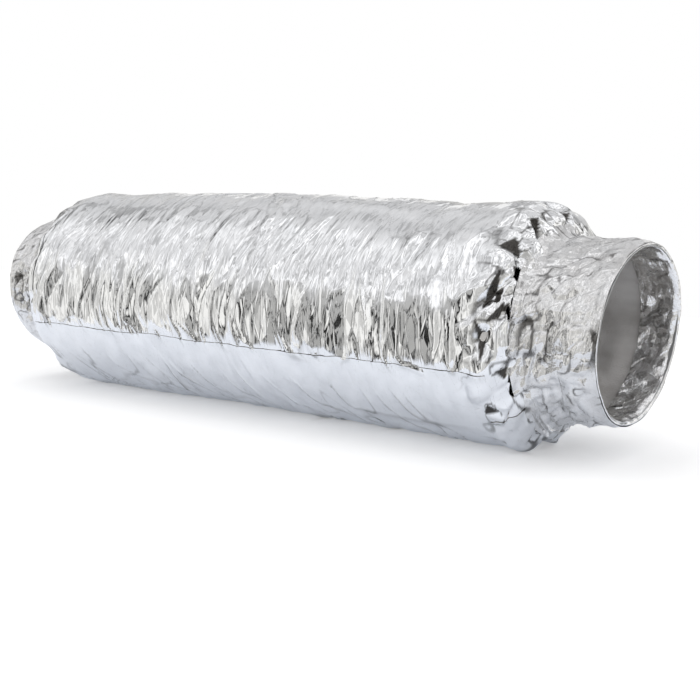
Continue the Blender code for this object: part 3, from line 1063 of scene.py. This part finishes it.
def wrap_surface(skin, from_foot):
    """The wrap's height and the painted shade of its creases: pulled folds at the foot, fine
    crinkles.
    """
    place = skin.place
    rise = np.sin(skin.angle)
    on_top = smoothstep(0.6, 0.95, rise)
    fold = smoothstep(30 * MM, 5 * MM, from_foot) * (1 - 0.7 * on_top)
    corner = smoothstep(10 * MM, 1 * MM, from_foot)
    height = (facets(place, 24, 8, 51) + 0.4 * fold) * (0.4 + 2.4 * fold) * MM
    height += corner * (1 - on_top) * (1.0 + 2.4 * facets(place, 30, 13, 58)) * MM
    height -= corner * on_top * 2.4 * MM
    ribs = smoothstep(-0.4, 0.3, waves(place, 22, 30, 56)) * smoothstep(0.6, 0.3, rise)
    height += facets(place, 5, 20, 52) * (0.5 + 2.1 * ribs) * MM
    height += layered(facets, place, WRAP_CRINKLES)
    # Painted shade: dark crease lines here and there, and dark bands among the ribs above the
    # underside.
    here = smoothstep(-0.1, 0.4, facets(place, 9, 9, 60))
    nicks = smoothstep(0.1, 0.7, creases(place, 13, 8, 59, width=0.14)) * here
    rib_shade = smoothstep(0.2, 0.5, creases(place, 8, 24, 67, width=0.22))
    rib_shade = rib_shade * smoothstep(0.3, 0.9, ribs) * smoothstep(-0.35, -0.1, rise)
    return height, np.clip(0.75 * nicks + 0.85 * rib_shade, 0, 0.94)


def tape_laps(skin, laps):
    """Bands round the collar where one turn of tape lies on another."""
    height = np.zeros(skin.s.shape)
    for low, high, lift in laps:
        centre, half = math.radians((low + high) / 2), math.radians((high - low) / 2)
        waver = waves(skin.place, 12, WIDE, 54) * 0.012
        reach = half - np.abs(wrap_angle(skin.angle - centre)) + waver
        height += smoothstep(-0.006, 0.006, reach) * lift * MM
    return height


def add_collar_wrap(end, side, rim_x, foot_x, body, laps):
    """Foil tape wound round the collar and up onto the shoulder."""
    length, radius = abs(rim_x - foot_x) / MM, COLLAR_RADIUS / MM
    profile = [(length + inset, radius + lift) for inset, lift in WRAP_FLARE]
    profile += [(inset, radius + lift) for inset, lift in WRAP_RIB]
    outline = [(rim_x - side * inset * MM, radius * MM) for inset, radius in profile]
    run = Run(outline[::side], COLLAR_RADIUS)
    skin = Skin.whole(run, WRAP_GRID, BOTTOM_ANGLE)
    height, shade = wrap_surface(skin, side * (skin.x - foot_x))
    height += tape_laps(skin, laps)
    from_rim = run.length - skin.s if side > 0 else skin.s
    near_rim = smoothstep(10 * MM, 1 * MM, from_rim)
    height = np.maximum(height + WRAP_LIFT, WRAP_LOWEST) * (1 - 0.75 * near_rim)
    along, outward = rim_sway(skin)
    points = skin.points(height + outward * near_rim, TAPE_FLOOR)
    points[..., 0] += side * along * near_rim
    wrap = add_skin(f"{end}_collar_wrap_skin", skin, points, shade, WRAP_THICKNESS)
    stand_in(wrap, f"{end}_collar_wrap", "foil_tape", body)


def add_rim_tape(end, side, rim_x, body):
    """The tape folded over the rim and down inside the mouth."""
    profile = RIM_OUTSIDE + RIM_INSIDE
    outline = [(rim_x - side * inset * MM, radius * MM) for inset, radius in profile]
    skin = Skin.whole(Run(outline, COLLAR_RADIUS), RIM_TAPE_GRID, BOTTOM_ANGLE)
    inside = smoothstep(12 * MM, 17 * MM, skin.s)
    near_rim = smoothstep(0, 7.5 * MM, skin.s) * smoothstep(20 * MM, 12 * MM, skin.s)
    from_lap = np.abs(wrap_angle(skin.angle - LAP_ANGLE))
    crinkle = layered(facets, skin.place, RIM_CRINKLES)
    crinkle += 0.5 * smoothstep(-0.012, 0.0, LAP_HALF_WIDTH - from_lap) * MM
    height = inside * np.clip(crinkle + RIM_LIFT, 0.0, RIM_HIGHEST)
    along, outward = rim_sway(skin)
    points = skin.points(side * height)
    points[..., 0] += side * along * near_rim
    points[..., 1] -= outward * near_rim * np.cos(skin.angle)
    points[..., 2] += outward * near_rim * np.sin(skin.angle)
    # The far tape's run points the other way, so it is taken round the other way too.
    points = points[:, ::side]
    rim = add_skin(f"{end}_rim_tape_skin", skin, points, 0 * skin.s, RIM_TAPE_THICKNESS)
    stand_in(rim, f"{end}_rim_tape", "foil_tape", body, LINING_TAPE)


# --------------------
# The bore: fabric liner, wire helix, scrim and wool.

LINER_TO_RIM = 12 * MM
LINER_SINK, LINER_SLANT = 2.5 * MM, 0.6
WOOL_IN, WOOL_UNDER_JACKET, WOOL_LIP = 63.8 * MM, 4.6 * MM, 2 * MM
WOOL_ROUNDING, WOOL_CORNER_STEPS, WOOL_OUT_STEPS, WOOL_IN_STEPS = 22 * MM, 10, 90, 100
WOOL_FAR_GAP, WOOL_NEAR_GAP = 9 * MM, 10 * MM
COVER_IN, COVER_OUT, COVER_STEPS = 62.75 * MM, 63.05 * MM, 100
COVER_GAP, HELIX_GAP = 1 * MM, 1.5 * MM
HELIX_PITCH, HELIX_RADIUS, WIRE_RADIUS = 36 * MM, 61.5 * MM, 0.7 * MM
HELIX_TURN_STEPS, WIRE_SIDES = 40, 8
CORE_SEGMENTS = 96
SHARP_EDGE = math.radians(40)


def add_liner():
    """The non-woven sleeve inside the helix, slack between its two taped ends."""
    radius = radius_of("liner_sleeve") - 0.2 * MM
    ends = (FAR_RIM_X + LINER_TO_RIM, NEAR_RIM_X - LINER_TO_RIM)
    run = Run([(end, radius) for end in ends], radius)
    skin = Skin.whole(run, LINER_GRID, BOTTOM_ANGLE)
    place = skin.place
    slanted = place.moved(LINER_SLANT * skin.u)
    free = smoothstep(17 * MM, 34 * MM, np.minimum(skin.s, run.length - skin.s))
    folds = waves(place, 50, 50, 71) * 3.0 * MM + facets(slanted, 36, 46, 72) * 7 * MM
    points = skin.points(-free * (LINER_SINK + np.maximum(folds, -LINER_SINK)))[:, ::-1]
    spread = np.stack([skin.s, skin.u], axis=-1)[:, ::-1]
    normals = grid_normals(points, True)
    liner = add_shell("liner_skin", points, normals, spread, LINER_THICKNESS, True)
    stand_in(liner, "liner_sleeve", "nonwoven")


def add_turned_solid(name, node, outline, slot):
    """A closed turned solid from an outline of (x, radius)."""
    x, radius = np.array(outline).T[..., None] * np.ones(CORE_SEGMENTS)
    angle = FULL_TURN * np.arange(CORE_SEGMENTS) / CORE_SEGMENTS
    index = np.arange(x.size).reshape(x.shape)
    quads = grid_quads(np.concatenate([index, index[:1]]), True)
    place = np.stack([x.ravel(), (radius * angle).ravel()], axis=-1)
    obj = add_mesh(name, turned(x, radius, angle).reshape(-1, 3), quads, place)
    obj.data.set_sharp_from_angle(angle=SHARP_EDGE)
    stand_in(obj, node, slot)
    return obj


def add_wool():
    """The blanket between core and jacket, rounded off under the shoulders."""
    out = BODY_RADIUS - WOOL_UNDER_JACKET
    far_end, near_end = FAR_SHOULDER_X + WOOL_FAR_GAP, NEAR_SHOULDER_X - WOOL_NEAR_GAP
    far_top, near_top = far_end + WOOL_ROUNDING, near_end - WOOL_ROUNDING
    lip = WOOL_IN + WOOL_LIP
    outline = quarter_round((far_end, lip), (far_top, out), WOOL_CORNER_STEPS, False)
    outline += [(x, out) for x in np.linspace(far_top, near_top, WOOL_OUT_STEPS)[1:-1]]
    outline += quarter_round((near_top, out), (near_end, lip), WOOL_CORNER_STEPS, True)
    outline += [(x, WOOL_IN) for x in np.linspace(near_end, far_end, WOOL_IN_STEPS)]
    wool = add_turned_solid("wool_blanket", "acoustic_wool", outline, "acoustic_wool")


def add_core_cover(start, end):
    run = np.linspace(start + COVER_GAP, end - COVER_GAP, COVER_STEPS)
    outline = [(x, COVER_OUT) for x in run] + [(x, COVER_IN) for x in run[::-1]]
    add_turned_solid("core_cover_skin", "core_cover", outline, "scrim")


def add_helix(start, end):
    """Round spring wire, with its two ends cut square."""
    steps = round((end - start) / HELIX_PITCH * HELIX_TURN_STEPS)
    turn = FULL_TURN * np.arange(steps + 1) / HELIX_TURN_STEPS
    x = np.linspace(start, end, steps + 1)
    outward = np.stack([0 * turn, np.cos(turn), np.sin(turn)], axis=-1)
    centre = HELIX_RADIUS * outward + np.stack([x, 0 * x, 0 * x + AXIS_Z], axis=-1)
    round_wire = FULL_TURN * np.arange(WIRE_SIDES) / WIRE_SIDES
    ring = WIRE_RADIUS * (
        np.cos(round_wire)[None, :, None] * outward[:, None, :]
        + np.sin(round_wire)[None, :, None] * np.array([1.0, 0, 0])
    )
    points = centre[:, None, :] + ring
    index = np.arange((steps + 1) * WIRE_SIDES).reshape(steps + 1, WIRE_SIDES)
    quads = grid_quads(index, True)[:, [0, 3, 2, 1]]
    faces = quads.tolist() + [index[0][::-1].tolist(), index[-1].tolist()]
    mesh = bpy.data.meshes.new("wire_helix_skin")
    mesh.from_pydata(points.reshape(-1, 3).tolist(), [], faces)
    mesh.shade_smooth()
    stand_in(add_object("wire_helix_skin", mesh), "wire_helix", "spring_wire")


def finish_cad_nodes():
    """Gives each CAD node that stays its own finish."""
    slots = {row["node"]: row["material_slot"] for row in frame["record"]["subparts"]}
    for name, node in frame["nodes"].items():
        node.data.materials.clear()
        node.data.materials.append(MATERIALS[slots[name]])


add_camera()
add_floor()
add_world()
add_softbox()
finish_cad_nodes()
add_jacket()
add_shoulder_tapes()
add_seam_strip()
for one in COLLARS:
    add_collar_wrap(*one)
    add_rim_tape(*one[:3], one[4])
add_liner()
add_wool()
CORE_LOW, CORE_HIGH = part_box("core_cover")
add_core_cover(CORE_LOW[0], CORE_HIGH[0])
add_helix(CORE_LOW[0] + HELIX_GAP, CORE_HIGH[0] - HELIX_GAP)
bpy.context.scene.view_settings.view_transform = "Standard"
